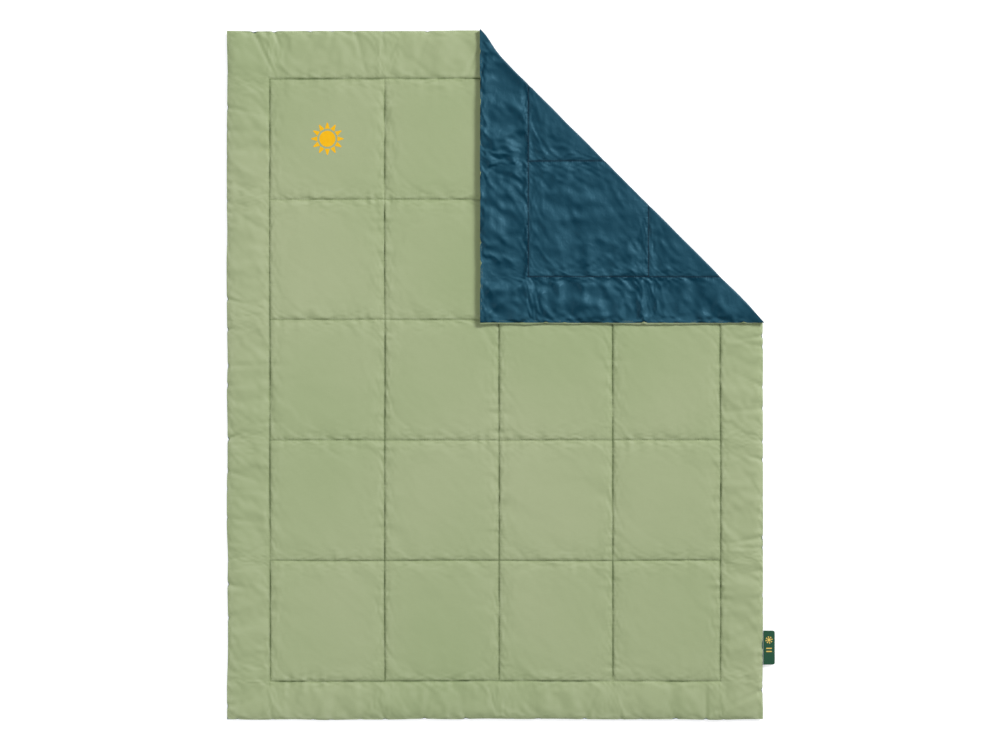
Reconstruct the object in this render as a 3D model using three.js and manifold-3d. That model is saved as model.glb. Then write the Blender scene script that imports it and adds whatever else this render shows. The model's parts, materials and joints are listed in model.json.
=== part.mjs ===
// A quilted camp blanket, lying flat with its head corner turned over on the diagonal.
//
// Millimetres, +X across the blanket to the right, +Y towards the head, +Z up.
// The ground is z = 0 and the origin is the middle of the base of the whole part.
// The blanket is drawn open and flat, cut where it folds, and its corner is then turned over.

import * as THREE from 'three';
import { mergeVertices } from 'three/addons/utils/BufferGeometryUtils.js';
import Module from 'manifold-3d';

const wasm = await Module();
wasm.setup();

// The finished outline and its filling
const WIDTH = 1400; // across, along X
const LENGTH = 1800; // head to foot, along Y
const LOFT = 16; // height of a filled box
const SEAM_LEVEL = 6; // height of the middle of the cloth along a stitched line
const PINCH_REACH = 30; // from a stitched line or the outline to the full loft
const CLOTH = 0.5; // thickness of a shell
const WEB = 1.2; // batting squeezed under a stitched line
const CLEARANCE = 0.3; // between two pieces that lie on each other

// The quilting: a frame line round a field of boxes
const SIDE_BORDER = 112; // outline to the frame line, left and right
const HEAD_BORDER = 126;
const FOOT_BORDER = 100;
const COLUMN_DRIFT = [6, 11, 13]; // how far right of even spacing each column line was sewn
const ROWS = 5;

// Threads
const THREAD_WIDTH = 1;
const THREAD_HEIGHT = 0.5;
const BATTING_MARGIN = 12; // the batting stops this far inside the outline
const EDGE_SEAM_INSET = 4; // the closing seam, inside the outline

// Folds
const CORNER_LEG = 762; // head corner to the fold, along each edge
const FOOT_FOLD_OFFSET = 3; // the foot folds just past the last row line
const FOLD_SETBACK = 1; // each side of a fold line stops this far short of it

// The side label: a ribbon folded in half, its two ends sewn into the closing seam
const RIBBON = 0.4; // thickness of the ribbon
const LABEL_LENGTH = 89; // along the edge
const LABEL_REACH = 31; // out from the edge
const LABEL_FROM_FOOT = 143;
const LABEL_TAIL = 10; // sewn in
const LABEL_HINGE = 1.5; // the line that it bends on, out from the edge
const LABEL_PLY_GAP = 0.6; // between the two plies

// The printed sun in the first box
const SUN_RADIUS = 42;
const SUN_WAIST = 30; // radius between two rays
const SUN_RAYS = 12;
const PRINT = 0.3; // thickness of the print

const RIGHT = WIDTH / 2;
const LEFT = -RIGHT;
const HEAD = LENGTH / 2;
const FOOT = -HEAD;
const FRAME = {
  left: LEFT + SIDE_BORDER,
  right: RIGHT - SIDE_BORDER,
  head: HEAD - HEAD_BORDER,
  foot: FOOT + FOOT_BORDER,
};
const COLUMNS = COLUMN_DRIFT.length + 1;
const columnPitch = (FRAME.right - FRAME.left) / COLUMNS;
const rowPitch = (FRAME.head - FRAME.foot) / ROWS;
const columnLines = COLUMN_DRIFT.map((drift, i) => FRAME.left + (i + 1) * columnPitch + drift);
const rowLines = Array.from({ length: ROWS - 1 }, (_, i) => FRAME.head - (i + 1) * rowPitch);

const seamHalf = CLOTH + CLEARANCE + WEB / 2; // half the blanket's thickness on a stitched line
const hingeLevel = LOFT + CLEARANCE; // a fold turns about its inner face
const footFoldY = rowLines[ROWS - 2] - FOOT_FOLD_OFFSET;
const labelMiddleY = FOOT + LABEL_FROM_FOOT + LABEL_LENGTH / 2;
const wholeMiddleX = LABEL_REACH / 2; // the label makes the part wider on the right only

const material = (color, roughness) => new THREE.MeshStandardMaterial({ color, roughness, metalness: 0 });
const frontCloth = material(0xa3b187, 0.9);
const backCloth = material(0x264c5f, 0.45);
const fleece = material(0xe8e8e4, 1);
const frontThread = material(0x5f7342, 0.7);
const backThread = material(0x1b3a4a, 0.6);
const seamThread = material(0x7d8a68, 0.7);
const labelRibbon = material(0x0a4a30, 0.75);
const sunPrint = material(0xf0b41e, 0.5);

const blanket = new THREE.Group();
blanket.position.x = -wholeMiddleX;

// Solids and booleans

function toSolid(geometry) {
  geometry.deleteAttribute('normal');
  geometry.deleteAttribute('uv');
  const merged = mergeVertices(geometry);
  return new wasm.Manifold(
    new wasm.Mesh({
      numProp: 3,
      vertProperties: new Float32Array(merged.attributes.position.array),
      triVerts: new Uint32Array(merged.index.array),
    }),
  );
}

function toMesh(name, solid, finish) {
  const { vertProperties, triVerts, numProp } = solid.getMesh();
  const positions = new Float32Array((vertProperties.length / numProp) * 3);
  for (let i = 0; i < positions.length / 3; i++) {
    for (let axis = 0; axis < 3; axis++) positions[3 * i + axis] = vertProperties[numProp * i + axis];
  }
  const geometry = new THREE.BufferGeometry();
  geometry.setAttribute('position', new THREE.BufferAttribute(positions, 3));
  geometry.setIndex(new THREE.BufferAttribute(new Uint32Array(triVerts), 1));
  geometry.computeVertexNormals();
  const mesh = new THREE.Mesh(geometry, finish);
  mesh.name = name;
  return mesh;
}

function bar(x0, x1, y0, y1, z0, z1) {
  const box = new THREE.BoxGeometry(x1 - x0, y1 - y0, z1 - z0);
  box.translate((x0 + x1) / 2, (y0 + y1) / 2, (z0 + z1) / 2);
  return toSolid(box);
}

function prism(points, z0, z1) {
  const outline = new THREE.Shape(points.map(([x, y]) => new THREE.Vector2(x, y)));
  const body = new THREE.ExtrudeGeometry(outline, { depth: z1 - z0, bevelEnabled: false });
  body.translate(0, 0, z0);
  return toSolid(body);
}

// The three regions that the folds cut the flat blanket into

const REGION_MARGIN = 10; // how far a region runs past the outline
const regionLow = -REGION_MARGIN;
const regionHigh = LOFT + REGION_MARGIN;
const setbackAlongEdge = FOLD_SETBACK * Math.SQRT2;

function cornerTriangle(leg) {
  const out = REGION_MARGIN;
  return prism(
    [
      [RIGHT - leg - out, HEAD + out],
      [RIGHT + out, HEAD - leg - out],
      [RIGHT + out, HEAD + out],
    ],
    regionLow,
    regionHigh,
  );
}

const field = (y0, y1) =>
  bar(LEFT - REGION_MARGIN, RIGHT + REGION_MARGIN, y0, y1, regionLow, regionHigh);

const regions = {
  main: field(footFoldY + FOLD_SETBACK, HEAD + REGION_MARGIN)
    .subtract(cornerTriangle(CORNER_LEG + setbackAlongEdge)),
  corner: cornerTriangle(CORNER_LEG - setbackAlongEdge),
  foot: field(FOOT - REGION_MARGIN, footFoldY - FOLD_SETBACK),
};

// Each body has a group. The corner's is turned over about the diagonal, at the level of the hinge.

const cornerHinge = new THREE.Vector3(RIGHT - CORNER_LEG / 2, HEAD - CORNER_LEG / 2, hingeLevel);
const cornerAxis = new THREE.Vector3(-1, 1, 0).normalize();

function turnedOver(hinge, axis) {
  const turned = new THREE.Group();
  turned.position.copy(hinge);
  turned.setRotationFromAxisAngle(axis, Math.PI);
  const flat = new THREE.Group();
  flat.position.copy(hinge).negate();
  turned.add(flat);
  blanket.add(turned);
  return flat;
}

const bodies = { main: blanket, corner: turnedOver(cornerHinge, cornerAxis), foot: blanket };

// Cuts a flat piece at the folds and puts each part on its body
function layOnBodies(name, solid, finish) {
  for (const [body, region] of Object.entries(regions)) {
    const part = solid.intersect(region);
    if (!part.isEmpty()) bodies[body].add(toMesh(`${name}_${body}`, part, finish));
  }
}

// The quilted surface: full loft inside a box, pinched at the stitched lines and the outline

const withinFrameX = (x) => x > FRAME.left && x < FRAME.right;
const withinFrameY = (y) => y > FRAME.foot && y < FRAME.head;

function distanceToSeam(x, y) {
  const beyondX = Math.max(FRAME.left - x, x - FRAME.right);
  const beyondY = Math.max(FRAME.foot - y, y - FRAME.head);
  const toFrame = withinFrameX(x) && withinFrameY(y)
    ? Math.min(-beyondX, -beyondY)
    : Math.hypot(Math.max(beyondX, 0), Math.max(beyondY, 0));
  const distances = [toFrame, RIGHT - Math.abs(x), HEAD - Math.abs(y)];
  if (withinFrameY(y)) distances.push(...columnLines.map((line) => Math.abs(x - line)));
  if (withinFrameX(x)) distances.push(...rowLines.map((line) => Math.abs(y - line)));
  return Math.min(...distances);
}

const fullness = (x, y) => Math.min(distanceToSeam(x, y) / PINCH_REACH, 1);
const upperFace = (x, y) => THREE.MathUtils.lerp(SEAM_LEVEL + seamHalf, LOFT, fullness(x, y));
const lowerFace = (x, y) => THREE.MathUtils.lerp(SEAM_LEVEL - seamHalf, 0, fullness(x, y));

function gridLines(low, high, seams) {
  const lines = [low, low + BATTING_MARGIN, low + PINCH_REACH];
  for (const seam of seams) lines.push(seam - PINCH_REACH, seam, seam + PINCH_REACH);
  lines.push(high - PINCH_REACH, high - BATTING_MARGIN, high);
  return lines.sort((a, b) => a - b);
}

const gridX = gridLines(LEFT, RIGHT, [FRAME.left, ...columnLines, FRAME.right]);
const gridY = gridLines(FOOT, HEAD, [FRAME.foot, ...rowLines.toReversed(), FRAME.head]);

// A closed sheet between two faces that are given as heights over the grid
function sheet(xs, ys, low, high) {
  const positions = [];
  const triangles = [];
  const layer = xs.length * ys.length;
  for (const height of [low, high]) {
    for (const y of ys) for (const x of xs) positions.push(x, y, height(x, y));
  }
  const quad = (a, b, c, d) => triangles.push(a, b, c, a, c, d);
  const at = (i, j) => j * xs.length + i;
  for (let j = 0; j + 1 < ys.length; j++) {
    for (let i = 0; i + 1 < xs.length; i++) {
      const [a, b, c, d] = [at(i, j), at(i + 1, j), at(i + 1, j + 1), at(i, j + 1)];
      quad(a + layer, b + layer, c + layer, d + layer);
      quad(a, d, c, b);
    }
  }
  const wall = (a, b) => quad(a, b, b + layer, a + layer);
  const [lastX, lastY] = [xs.length - 1, ys.length - 1];
  for (let i = 0; i < lastX; i++) {
    wall(at(i, 0), at(i + 1, 0));
    wall(at(i + 1, lastY), at(i, lastY));
  }
  for (let j = 0; j < lastY; j++) {
    wall(at(0, j + 1), at(0, j));
    wall(at(lastX, j), at(lastX, j + 1));
  }
  const geometry = new THREE.BufferGeometry();
  geometry.setAttribute('position', new THREE.BufferAttribute(new Float32Array(positions), 3));
  geometry.setIndex(triangles);
  return toSolid(geometry);
}

function addShells() {
  const under = (x, y) => upperFace(x, y) - CLOTH;
  const over = (x, y) => lowerFace(x, y) + CLOTH;
  layOnBodies('front_shell', sheet(gridX, gridY, under, upperFace), frontCloth);
  layOnBodies('back_shell', sheet(gridX, gridY, lowerFace, over), backCloth);
}

function addBatting() {
  const insideOf = (lines) => lines.slice(1, -1);
  const top = (x, y) => upperFace(x, y) - CLOTH - CLEARANCE;
  const bottom = (x, y) => lowerFace(x, y) + CLOTH + CLEARANCE;
  layOnBodies('batting', sheet(insideOf(gridX), insideOf(gridY), bottom, top), fleece);
}

// Quilting threads. On each face, the column threads cross over the row threads.

const endGap = THREAD_WIDTH / 2 + CLEARANCE; // a line of stitches stops short of the frame's

function threadLevel(side, layer) {
  const near = seamHalf + CLEARANCE + layer * (THREAD_HEIGHT + CLEARANCE);
  const far = near + THREAD_HEIGHT;
  return side === 'front' ? [SEAM_LEVEL + near, SEAM_LEVEL + far] : [SEAM_LEVEL - far, SEAM_LEVEL - near];
}

// A closed line of stitches. The folds cut it into a stretch on the corner, one on the foot, and a
// left and a right stretch on the main part.
function layFrameLine(name, { left, right, foot, head }, [z0, z1], finish) {
  const half = THREAD_WIDTH / 2;
  const inside = bar(left + half, right - half, foot + half, head - half, regionLow, regionHigh);
  const line = bar(left - half, right + half, foot - half, head + half, z0, z1).subtract(inside);
  const rightSide = bar(right - endGap, right + endGap, FOOT, HEAD, regionLow, regionHigh);
  const onMain = line.intersect(regions.main);
  const add = (body, suffix, solid) => bodies[body].add(toMesh(`${name}_${suffix}`, solid, finish));
  add('main', 'main_left', onMain.subtract(rightSide));
  add('main', 'main_right', onMain.intersect(rightSide));
  add('corner', 'corner', line.intersect(regions.corner));
  add('foot', 'foot', line.intersect(regions.foot));
}

function addQuilting(side, finish) {
  const half = THREAD_WIDTH / 2;
  const rowLevel = threadLevel(side, 0);
  const columnLevel = threadLevel(side, 1);
  rowLines.forEach((y, i) => {
    const thread = bar(FRAME.left + endGap, FRAME.right - endGap, y - half, y + half, ...rowLevel);
    layOnBodies(`${side}_row_stitch_${i + 1}`, thread, finish);
  });
  columnLines.forEach((x, i) => {
    const thread = bar(x - half, x + half, FRAME.foot + endGap, FRAME.head - endGap, ...columnLevel);
    layOnBodies(`${side}_column_stitch_${i + 1}`, thread, finish);
  });
  layFrameLine(`${side}_frame_stitch`, FRAME, rowLevel, finish);
}

// The closing seam runs between the shells. It lies low, and the label's tail lies over it.

const innerLow = SEAM_LEVEL - seamHalf + CLOTH + CLEARANCE;

function addEdgeSeam() {
  const line = {
    left: LEFT + EDGE_SEAM_INSET,
    right: RIGHT - EDGE_SEAM_INSET,
    foot: FOOT + EDGE_SEAM_INSET,
    head: HEAD - EDGE_SEAM_INSET,
  };
  layFrameLine('edge_seam', line, [innerLow, innerLow + THREAD_HEIGHT], seamThread);
}

function addLabel() {
  const y0 = labelMiddleY - LABEL_LENGTH / 2;
  const tailLow = innerLow + THREAD_HEIGHT + CLEARANCE;
  const tail = bar(RIGHT - LABEL_TAIL, RIGHT, y0, y0 + LABEL_LENGTH, tailLow, tailLow + RIBBON);
  blanket.add(toMesh('label_tail', tail, labelRibbon));

  // The free part is a loop in section: out along the lower ply, round the fold, back on the upper
  const outer = LABEL_PLY_GAP / 2 + RIBBON;
  const inner = LABEL_PLY_GAP / 2;
  const start = LABEL_HINGE - outer;
  const bend = LABEL_REACH - outer;
  const section = new THREE.Shape();
  section.moveTo(start, -outer);
  section.lineTo(bend, -outer);
  section.absarc(bend, 0, outer, -Math.PI / 2, Math.PI / 2, false);
  section.lineTo(start, outer);
  section.lineTo(start, inner);
  section.lineTo(bend, inner);
  section.absarc(bend, 0, inner, Math.PI / 2, -Math.PI / 2, true);
  section.lineTo(start, -inner);
  section.closePath();
  const loop = new THREE.ExtrudeGeometry(section, {
    depth: LABEL_LENGTH,
    bevelEnabled: false,
    curveSegments: 6,
  });
  loop.rotateX(Math.PI / 2); // the section stands up, and the length runs towards the foot
  loop.translate(RIGHT, y0 + LABEL_LENGTH, SEAM_LEVEL);
  blanket.add(toMesh('label_loop', toSolid(loop), labelRibbon));
}

// A sun: rays of equal size round a disc
function addSunPrint() {
  const points = [];
  for (let i = 0; i < 2 * SUN_RAYS; i++) {
    const radius = i % 2 ? SUN_WAIST : SUN_RADIUS;
    const angle = (i * Math.PI) / SUN_RAYS + Math.PI / 2;
    points.push([radius * Math.cos(angle), radius * Math.sin(angle)]);
  }
  const level = LOFT + CLEARANCE;
  const sun = toMesh('sun_print', prism(points, level, level + PRINT), sunPrint);
  sun.position.set((FRAME.left + columnLines[0]) / 2, (FRAME.head + rowLines[0]) / 2, 0);
  blanket.add(sun);
}

addShells();
addBatting();
addQuilting('front', frontThread);
addQuilting('back', backThread);
addEdgeSeam();
addLabel();
addSunPrint();

export default blanket;
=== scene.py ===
"""A quilted camp blanket, sage green in front and navy behind, with its head corner turned over.

The blanket is worked out open and flat, as two skins that are sewn together along the quilting and
round the outline. Each skin gets the fullness of its boxes, the slack of its cloth and the puckers at
its seams. It is then cut where the blanket folds, and the corner is turned over about its hinge.
"""

import json
import math

import bmesh
import bpy
import numpy as np
from mathutils import Matrix, Vector


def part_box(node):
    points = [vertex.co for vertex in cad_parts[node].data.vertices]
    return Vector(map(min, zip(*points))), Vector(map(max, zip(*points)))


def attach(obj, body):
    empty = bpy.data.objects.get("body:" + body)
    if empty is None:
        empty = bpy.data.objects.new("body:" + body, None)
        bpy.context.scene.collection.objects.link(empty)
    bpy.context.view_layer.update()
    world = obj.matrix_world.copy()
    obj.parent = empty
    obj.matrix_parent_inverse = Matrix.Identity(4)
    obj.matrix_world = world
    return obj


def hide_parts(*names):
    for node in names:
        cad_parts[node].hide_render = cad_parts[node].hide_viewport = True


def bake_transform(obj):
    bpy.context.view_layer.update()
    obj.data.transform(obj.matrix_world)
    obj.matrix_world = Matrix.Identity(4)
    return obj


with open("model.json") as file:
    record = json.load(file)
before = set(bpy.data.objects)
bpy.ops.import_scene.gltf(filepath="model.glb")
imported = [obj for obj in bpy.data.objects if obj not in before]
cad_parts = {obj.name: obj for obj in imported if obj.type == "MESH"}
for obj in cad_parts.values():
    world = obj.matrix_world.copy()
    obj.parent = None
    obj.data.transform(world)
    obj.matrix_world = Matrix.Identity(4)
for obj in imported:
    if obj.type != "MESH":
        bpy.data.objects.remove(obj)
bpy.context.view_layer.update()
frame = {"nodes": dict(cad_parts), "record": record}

MM = 0.001


# ------------------------ what the frame gives

def middle(node):
    low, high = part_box(node)
    return (low + high) / 2


joints = {joint["name"]: joint for joint in frame["record"]["behaviour"]["joints"]}

LEFT, FOOT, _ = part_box("front_shell_foot")[0]
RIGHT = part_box("front_shell_foot")[1].x
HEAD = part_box("front_shell_main")[1].y
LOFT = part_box("front_shell_main")[1].z
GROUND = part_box("back_shell_main")[0].z

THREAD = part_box("front_column_stitch_1_main")[1].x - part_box("front_column_stitch_1_main")[0].x
FRAME_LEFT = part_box("front_frame_stitch_foot")[0].x + THREAD / 2
FRAME_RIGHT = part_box("front_frame_stitch_foot")[1].x - THREAD / 2
FRAME_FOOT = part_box("front_frame_stitch_foot")[0].y + THREAD / 2
FRAME_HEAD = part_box("front_frame_stitch_main_left")[1].y - THREAD / 2
COLUMNS = [middle(f"front_column_stitch_{i}_main").x for i in (1, 2, 3)]
ROWS = [middle(f"front_row_stitch_{i}_main").y for i in (4, 3, 2, 1)]  # foot to head

SEAM_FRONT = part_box("front_row_stitch_4_main")[0].z - 0.3 * MM  # the front's height along a seam
SEAM_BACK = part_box("back_row_stitch_4_main")[1].z + 0.3 * MM
OUTLINE_LEVEL = (SEAM_FRONT + SEAM_BACK) / 2  # where the skins meet round the outline
EDGE_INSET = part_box("edge_seam_foot")[0].x - LEFT

corner_hinge = Vector(joints["corner_fold"]["pos_m"])
FOLD_SUM = corner_hinge.x + corner_hinge.y  # x + y is this along the corner's fold
FOLD_OUT = Vector((1, 1, 0)).normalized()  # across the fold, away from the blanket
FOLD_ALONG = Vector((1, -1, 0)).normalized()  # from the head edge to the right edge


# ------------------------ shaping values

GRID_STEP = 4.3 * MM  # mean cell of a finished skin
CLUSTER = 0.5  # how much closer its lines lie beside a seam
SLACK_STEP = 2  # the simulated cloth's cells, in finished cells
CREVICE = 2.4 * MM  # the narrow part of the groove along a seam
CREVICE_SHARE = 0.5
SHOULDER = 15 * MM  # the soft part of it
EDGE_ROUND = 13 * MM  # how quickly the blanket fills out inside its outline
CROWN = 0.1  # share of the loft that builds up towards the middle of a box

FLAP_LEFT = FOLD_SUM - HEAD + 23.1 * MM  # where the turned corner's free edges have come to lie
FLAP_FOOT = FOLD_SUM - RIGHT - 2 * MM
FLAP_STRETCH = (0.9975, 1.07)  # across and along: the fold takes up what is too much
FLAP_DROOP = 6 * MM  # its lower edge sinks towards what is below, and its left edge stands off it
FLAP_LIFT = 7 * MM
FLAP_EDGE = 35 * MM  # how far in from an edge that reaches
FLAP_CALM = 85 * MM  # the lift begins this far from the fold
FLAP_FADE = 80 * MM  # both fade in over this far
LIP = 9 * MM  # the front cloth's bulge along the corner's lower edge, and how far in it is greatest
LIP_AT = 6 * MM
HEAD_PULL = 24 * MM  # the fold's end at the head edge is drawn this far to the right
HEAD_PULL_REACH = 45 * MM
FOLD_BULGE = 0.32  # how far the fold stands out, in shares of its radius

DRIFT, DRIFT_SIZE = 1.5 * MM, 310 * MM  # how far hand-laid cloth strays, and over what length
EDGE_DRIFT, EDGE_DRIFT_SIZE, EDGE_DRIFT_REACH = 1.3 * MM, 85 * MM, 60 * MM
TUCK_SPACING = 75 * MM  # the tucks at the outline
TUCK_WIDTH = 5 * MM
TUCK_DRAW = 3.2 * MM  # how far one draws the edge in, at most
TUCK_DRAW_REACH = 9 * MM
PUCKER_PITCH, PUCKER_PATCH = 12.5 * MM, 100 * MM  # from gather to gather, and a gathered stretch
PUCKER_STRETCH = 0.22  # a gather's width over its length

SLACK_FRAMES = 12
SLACK_NOISE = 2 * MM
FRONT_GROWTH = 0.03  # how much larger than its seams the cloth is
CORNER_GROWTH = 0.045
FRONT_RELIEF_LIMIT = 3 * MM
CRUMPLE_LIMIT = 7 * MM
PAINTED_LIGHT_LIMIT = 0.3  # the slope at which a cloth's painted light and shade are nearly at their end

BATTING_STRIDE = 4  # its cells, in finished cells
BATTING_GAP = 2 * MM
BATTING_SHORT = 20 * MM  # the fleece stops this far short of the corner's fold
STITCH = {"Pitch": 3.6 * MM, "Length": 2.9 * MM, "Thickness": 0.9 * MM, "Scatter": 0.12 * MM}
STITCH_PROUD = 0.25 * MM
GUIDE_STEP = 12 * MM  # from point to point of the line that the stitches follow
STITCH_CLEAR_CORNER = 3 * MM  # the stitches stop this far short of a fold
STITCH_CLEAR_FOOT = 2 * MM
PRINT_PROUD = 0.35 * MM
SUN_RAYS = 12
LABEL_ROUND = 5 * MM
LABEL_THICKNESS = 0.45 * MM
LABEL_WAVE = 0.5 * MM
ON_LINE = 1e-6  # a point this close to a line lies on it


def smooth(t):
    t = np.clip(t, 0, 1)
    return t * t * (3 - 2 * t)


def value_noise(x, y, scale, seed):
    """Smooth noise between -1 and 1 that depends only on the place."""
    size = 64
    lattice = np.random.default_rng(seed).uniform(-1, 1, (size, size))
    u, v = (x - LEFT) / scale + size, (y - FOOT) / scale + size
    i, j = np.floor(u).astype(int), np.floor(v).astype(int)
    s, t = smooth(u - i), smooth(v - j)
    i, j = i % size, j % size
    right, up = (i + 1) % size, (j + 1) % size
    low = lattice[j, i] * (1 - s) + lattice[j, right] * s
    high = lattice[up, i] * (1 - s) + lattice[up, right] * s
    return low * (1 - t) + high * t


# ------------------------ the open, flat blanket

def grid_lines(stops, step, multiple=4):
    """Lines through every stop, closer together beside it, with a whole number of cells between two."""
    lines = [stops[0]]
    for low, high in zip(stops, stops[1:]):
        cells = multiple * max(1, round((high - low) / step / multiple))
        share = np.linspace(0, 1, cells + 1)[1:]
        lines += list(low + (high - low) * (share - CLUSTER * np.sin(2 * np.pi * share) / (2 * np.pi)))
    return np.array(lines)


line_x = grid_lines([LEFT, FRAME_LEFT, *COLUMNS, FRAME_RIGHT, RIGHT], GRID_STEP)
line_y = grid_lines([FOOT, FRAME_FOOT, *ROWS, FRAME_HEAD, HEAD], GRID_STEP)
flat_x, flat_y = np.meshgrid(line_x, line_y)


class Place:
    """How far points of the flat blanket are from its seams and edges."""

    def __init__(self, x, y):
        self.x, self.y = x, y
        nearest = lambda values, lines: np.min([np.abs(values - line) for line in lines], axis=0)
        self.inside_x = (x >= FRAME_LEFT) & (x <= FRAME_RIGHT)
        self.inside_y = (y >= FRAME_FOOT) & (y <= FRAME_HEAD)
        self.inside = self.inside_x & self.inside_y
        beyond_x = np.maximum(np.maximum(FRAME_LEFT - x, x - FRAME_RIGHT), 0)
        beyond_y = np.maximum(np.maximum(FRAME_FOOT - y, y - FRAME_HEAD), 0)
        self.to_frame = np.hypot(beyond_x, beyond_y)
        self.to_column = nearest(x, [FRAME_LEFT, *COLUMNS, FRAME_RIGHT])
        self.to_row = nearest(y, [FRAME_FOOT, *ROWS, FRAME_HEAD])
        self.to_seam = np.where(self.inside, np.minimum(self.to_column, self.to_row), self.to_frame)
        self.to_row_line = np.where(self.inside, nearest(y, ROWS), 1)
        frame_end = nearest(y, [FRAME_FOOT, FRAME_HEAD])
        self.to_long_line = np.where(self.inside, np.minimum(self.to_column, frame_end), self.to_frame)
        self.edge_x = np.maximum(np.minimum(x - LEFT, RIGHT - x), 0)
        self.edge_y = np.maximum(np.minimum(y - FOOT, HEAD - y), 0)
        self.to_edge = np.minimum(self.edge_x, self.edge_y)
        self.to_fold = (x + y - FOLD_SUM) / math.sqrt(2)  # positive on the corner


flat = Place(flat_x, flat_y)


def fullness(place):
    """How full the blanket is, from 0 on a seam to 1 in the middle of a box."""

    def rise(distance):
        shoulder = (1 - CREVICE_SHARE) * np.exp(-distance / SHOULDER)
        return 1 - CREVICE_SHARE * np.exp(-distance / CREVICE) - shoulder

    rim = lambda distance: 1 - np.exp(-distance / EDGE_ROUND)
    box = rise(place.to_column) * rise(place.to_row)
    border = rise(place.to_frame) * rim(place.edge_x) * rim(place.edge_y)
    half_box = (ROWS[1] - ROWS[0]) / 2
    crown = np.sqrt(np.clip(place.to_column / half_box, 0, 1) * np.clip(place.to_row / half_box, 0, 1))
    return np.where(place.inside, box * (1 - CROWN * (1 - crown)), border * (1 - CROWN / 2))


def bell(distance, width):
    return np.exp(-((distance / width) ** 2))


def tucks(x, y):
    """Little creases that run in from the outline, where the closing seam has drawn the edge in.
    Returns how far the cloth is drawn in along x and y, and how deep the crease is, from 0 to 1."""
    random = np.random.default_rng(71)
    inward_x, inward_y, depth = np.zeros(x.shape), np.zeros(x.shape), np.zeros(x.shape)
    for along, from_edge, first, last, sign, inward in (
        (y, x - LEFT, FOOT, HEAD, 1, inward_x),
        (y, RIGHT - x, FOOT, HEAD, -1, inward_x),
        (x, y - FOOT, LEFT, RIGHT, 1, inward_y),
        (x, HEAD - y, LEFT, RIGHT, -1, inward_y),
    ):
        near_edge = np.exp(-np.maximum(from_edge, 0) / TUCK_DRAW_REACH)
        for spot in np.arange(first + 50 * MM, last - 40 * MM, TUCK_SPACING):
            spot += random.uniform(-30, 30) * MM
            strength = random.uniform(0.2, 1) ** 1.5
            slant, reach = random.uniform(-0.5, 0.5), random.uniform(20, 95) * MM
            across = along - spot - slant * from_edge
            inward += sign * TUCK_DRAW * strength * bell(across, TUCK_WIDTH) * near_edge
            depth += strength * bell(across, 1.1 * TUCK_WIDTH) * bell(from_edge, reach)
    return inward_x, inward_y, depth


def wander(x, y):
    """The hand-laid cloth is nowhere quite straight: the same small drift for all that is sewn to it."""
    edge = np.minimum(np.minimum(x - LEFT, RIGHT - x), np.minimum(y - FOOT, HEAD - y))
    near_edge = np.exp(-np.maximum(edge, 0) / EDGE_DRIFT_REACH)

    def drift(seed):
        at_edge = near_edge * EDGE_DRIFT * value_noise(x, y, EDGE_DRIFT_SIZE, seed + 1)
        return DRIFT * value_noise(x, y, DRIFT_SIZE, seed) + at_edge

    drift_x, drift_y = drift(1), drift(3)
    # Beside the label the edge hardly strays outwards, so that the label keeps clear of it.
    beside_label = smooth((x - RIGHT + 60 * MM) / (50 * MM))
    drift_x = np.where(drift_x > 0, drift_x * (1 - 0.9 * beside_label), drift_x)
    tucked_x, tucked_y, _ = tucks(x, y)
    return drift_x + tucked_x, drift_y + tucked_y


# ------------------------ slack cloth, by simulation

def grid_quads(index):
    """The faces over a grid of points, which are given by their numbers."""
    return np.stack([index[:-1, :-1], index[:-1, 1:], index[1:, 1:], index[1:, :-1]], -1).reshape(-1, 4)


def mesh_from_grid(name, points, flip=False):
    rows, columns = points.shape[:2]
    quads = grid_quads(np.arange(rows * columns).reshape(rows, columns))
    if flip:
        quads = quads[:, ::-1]
    mesh = bpy.data.meshes.new(name)
    mesh.from_pydata(points.reshape(-1, 3).tolist(), [], quads.tolist())
    return mesh


def new_object(name, data):
    piece = bpy.data.objects.new(name, data)
    bpy.context.collection.objects.link(piece)
    return piece


sewn = ((flat.to_seam < ON_LINE) & flat.inside) | (flat.to_edge < ON_LINE)


def simulate_slack(name, growth, seed, first_row=0, first_column=0):
    """A sheet that is larger than its seams by a share buckles between them. Returns how far each point
    moves, on the finished grid. The sheet may begin at a row and column, where it is held."""
    moved = np.zeros((*flat_x.shape, 3))
    picked = (slice(first_row, None, SLACK_STEP), slice(first_column, None, SLACK_STEP))
    x, y, held = flat_x[picked], flat_y[picked], sewn[picked].copy()
    held[0], held[:, 0] = True, True
    start = SLACK_NOISE * np.random.default_rng(seed).uniform(-1, 1, x.shape)
    points = np.stack([x, y, np.where(held, 0, start)], -1)
    sheet = new_object(name, mesh_from_grid(name, points))
    pins = sheet.vertex_groups.new(name="sewn")
    pins.add(np.flatnonzero(held.ravel()).tolist(), 1.0, "REPLACE")

    cloth = sheet.modifiers.new("cloth", "CLOTH")
    settings = cloth.settings
    settings.quality = 5
    settings.mass = 0.15
    settings.air_damping = 2
    settings.tension_stiffness = 15
    settings.compression_stiffness = 15
    settings.shear_stiffness = 6
    settings.bending_stiffness = 0.03
    settings.vertex_group_mass = "sewn"
    settings.shrink_min = -growth
    settings.effector_weights.gravity = 0
    cloth.collision_settings.use_collision = False
    cloth.point_cache.frame_start = 1
    cloth.point_cache.frame_end = SLACK_FRAMES
    for step in range(1, SLACK_FRAMES + 1):
        bpy.context.scene.frame_set(step)
    result = sheet.evaluated_get(bpy.context.evaluated_depsgraph_get()).data
    settled = np.zeros(len(result.vertices) * 3)
    result.vertices.foreach_get("co", settled)
    bpy.data.objects.remove(sheet)
    moved[first_row:, first_column:] = finer(settled.reshape(points.shape) - points)
    return moved


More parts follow.
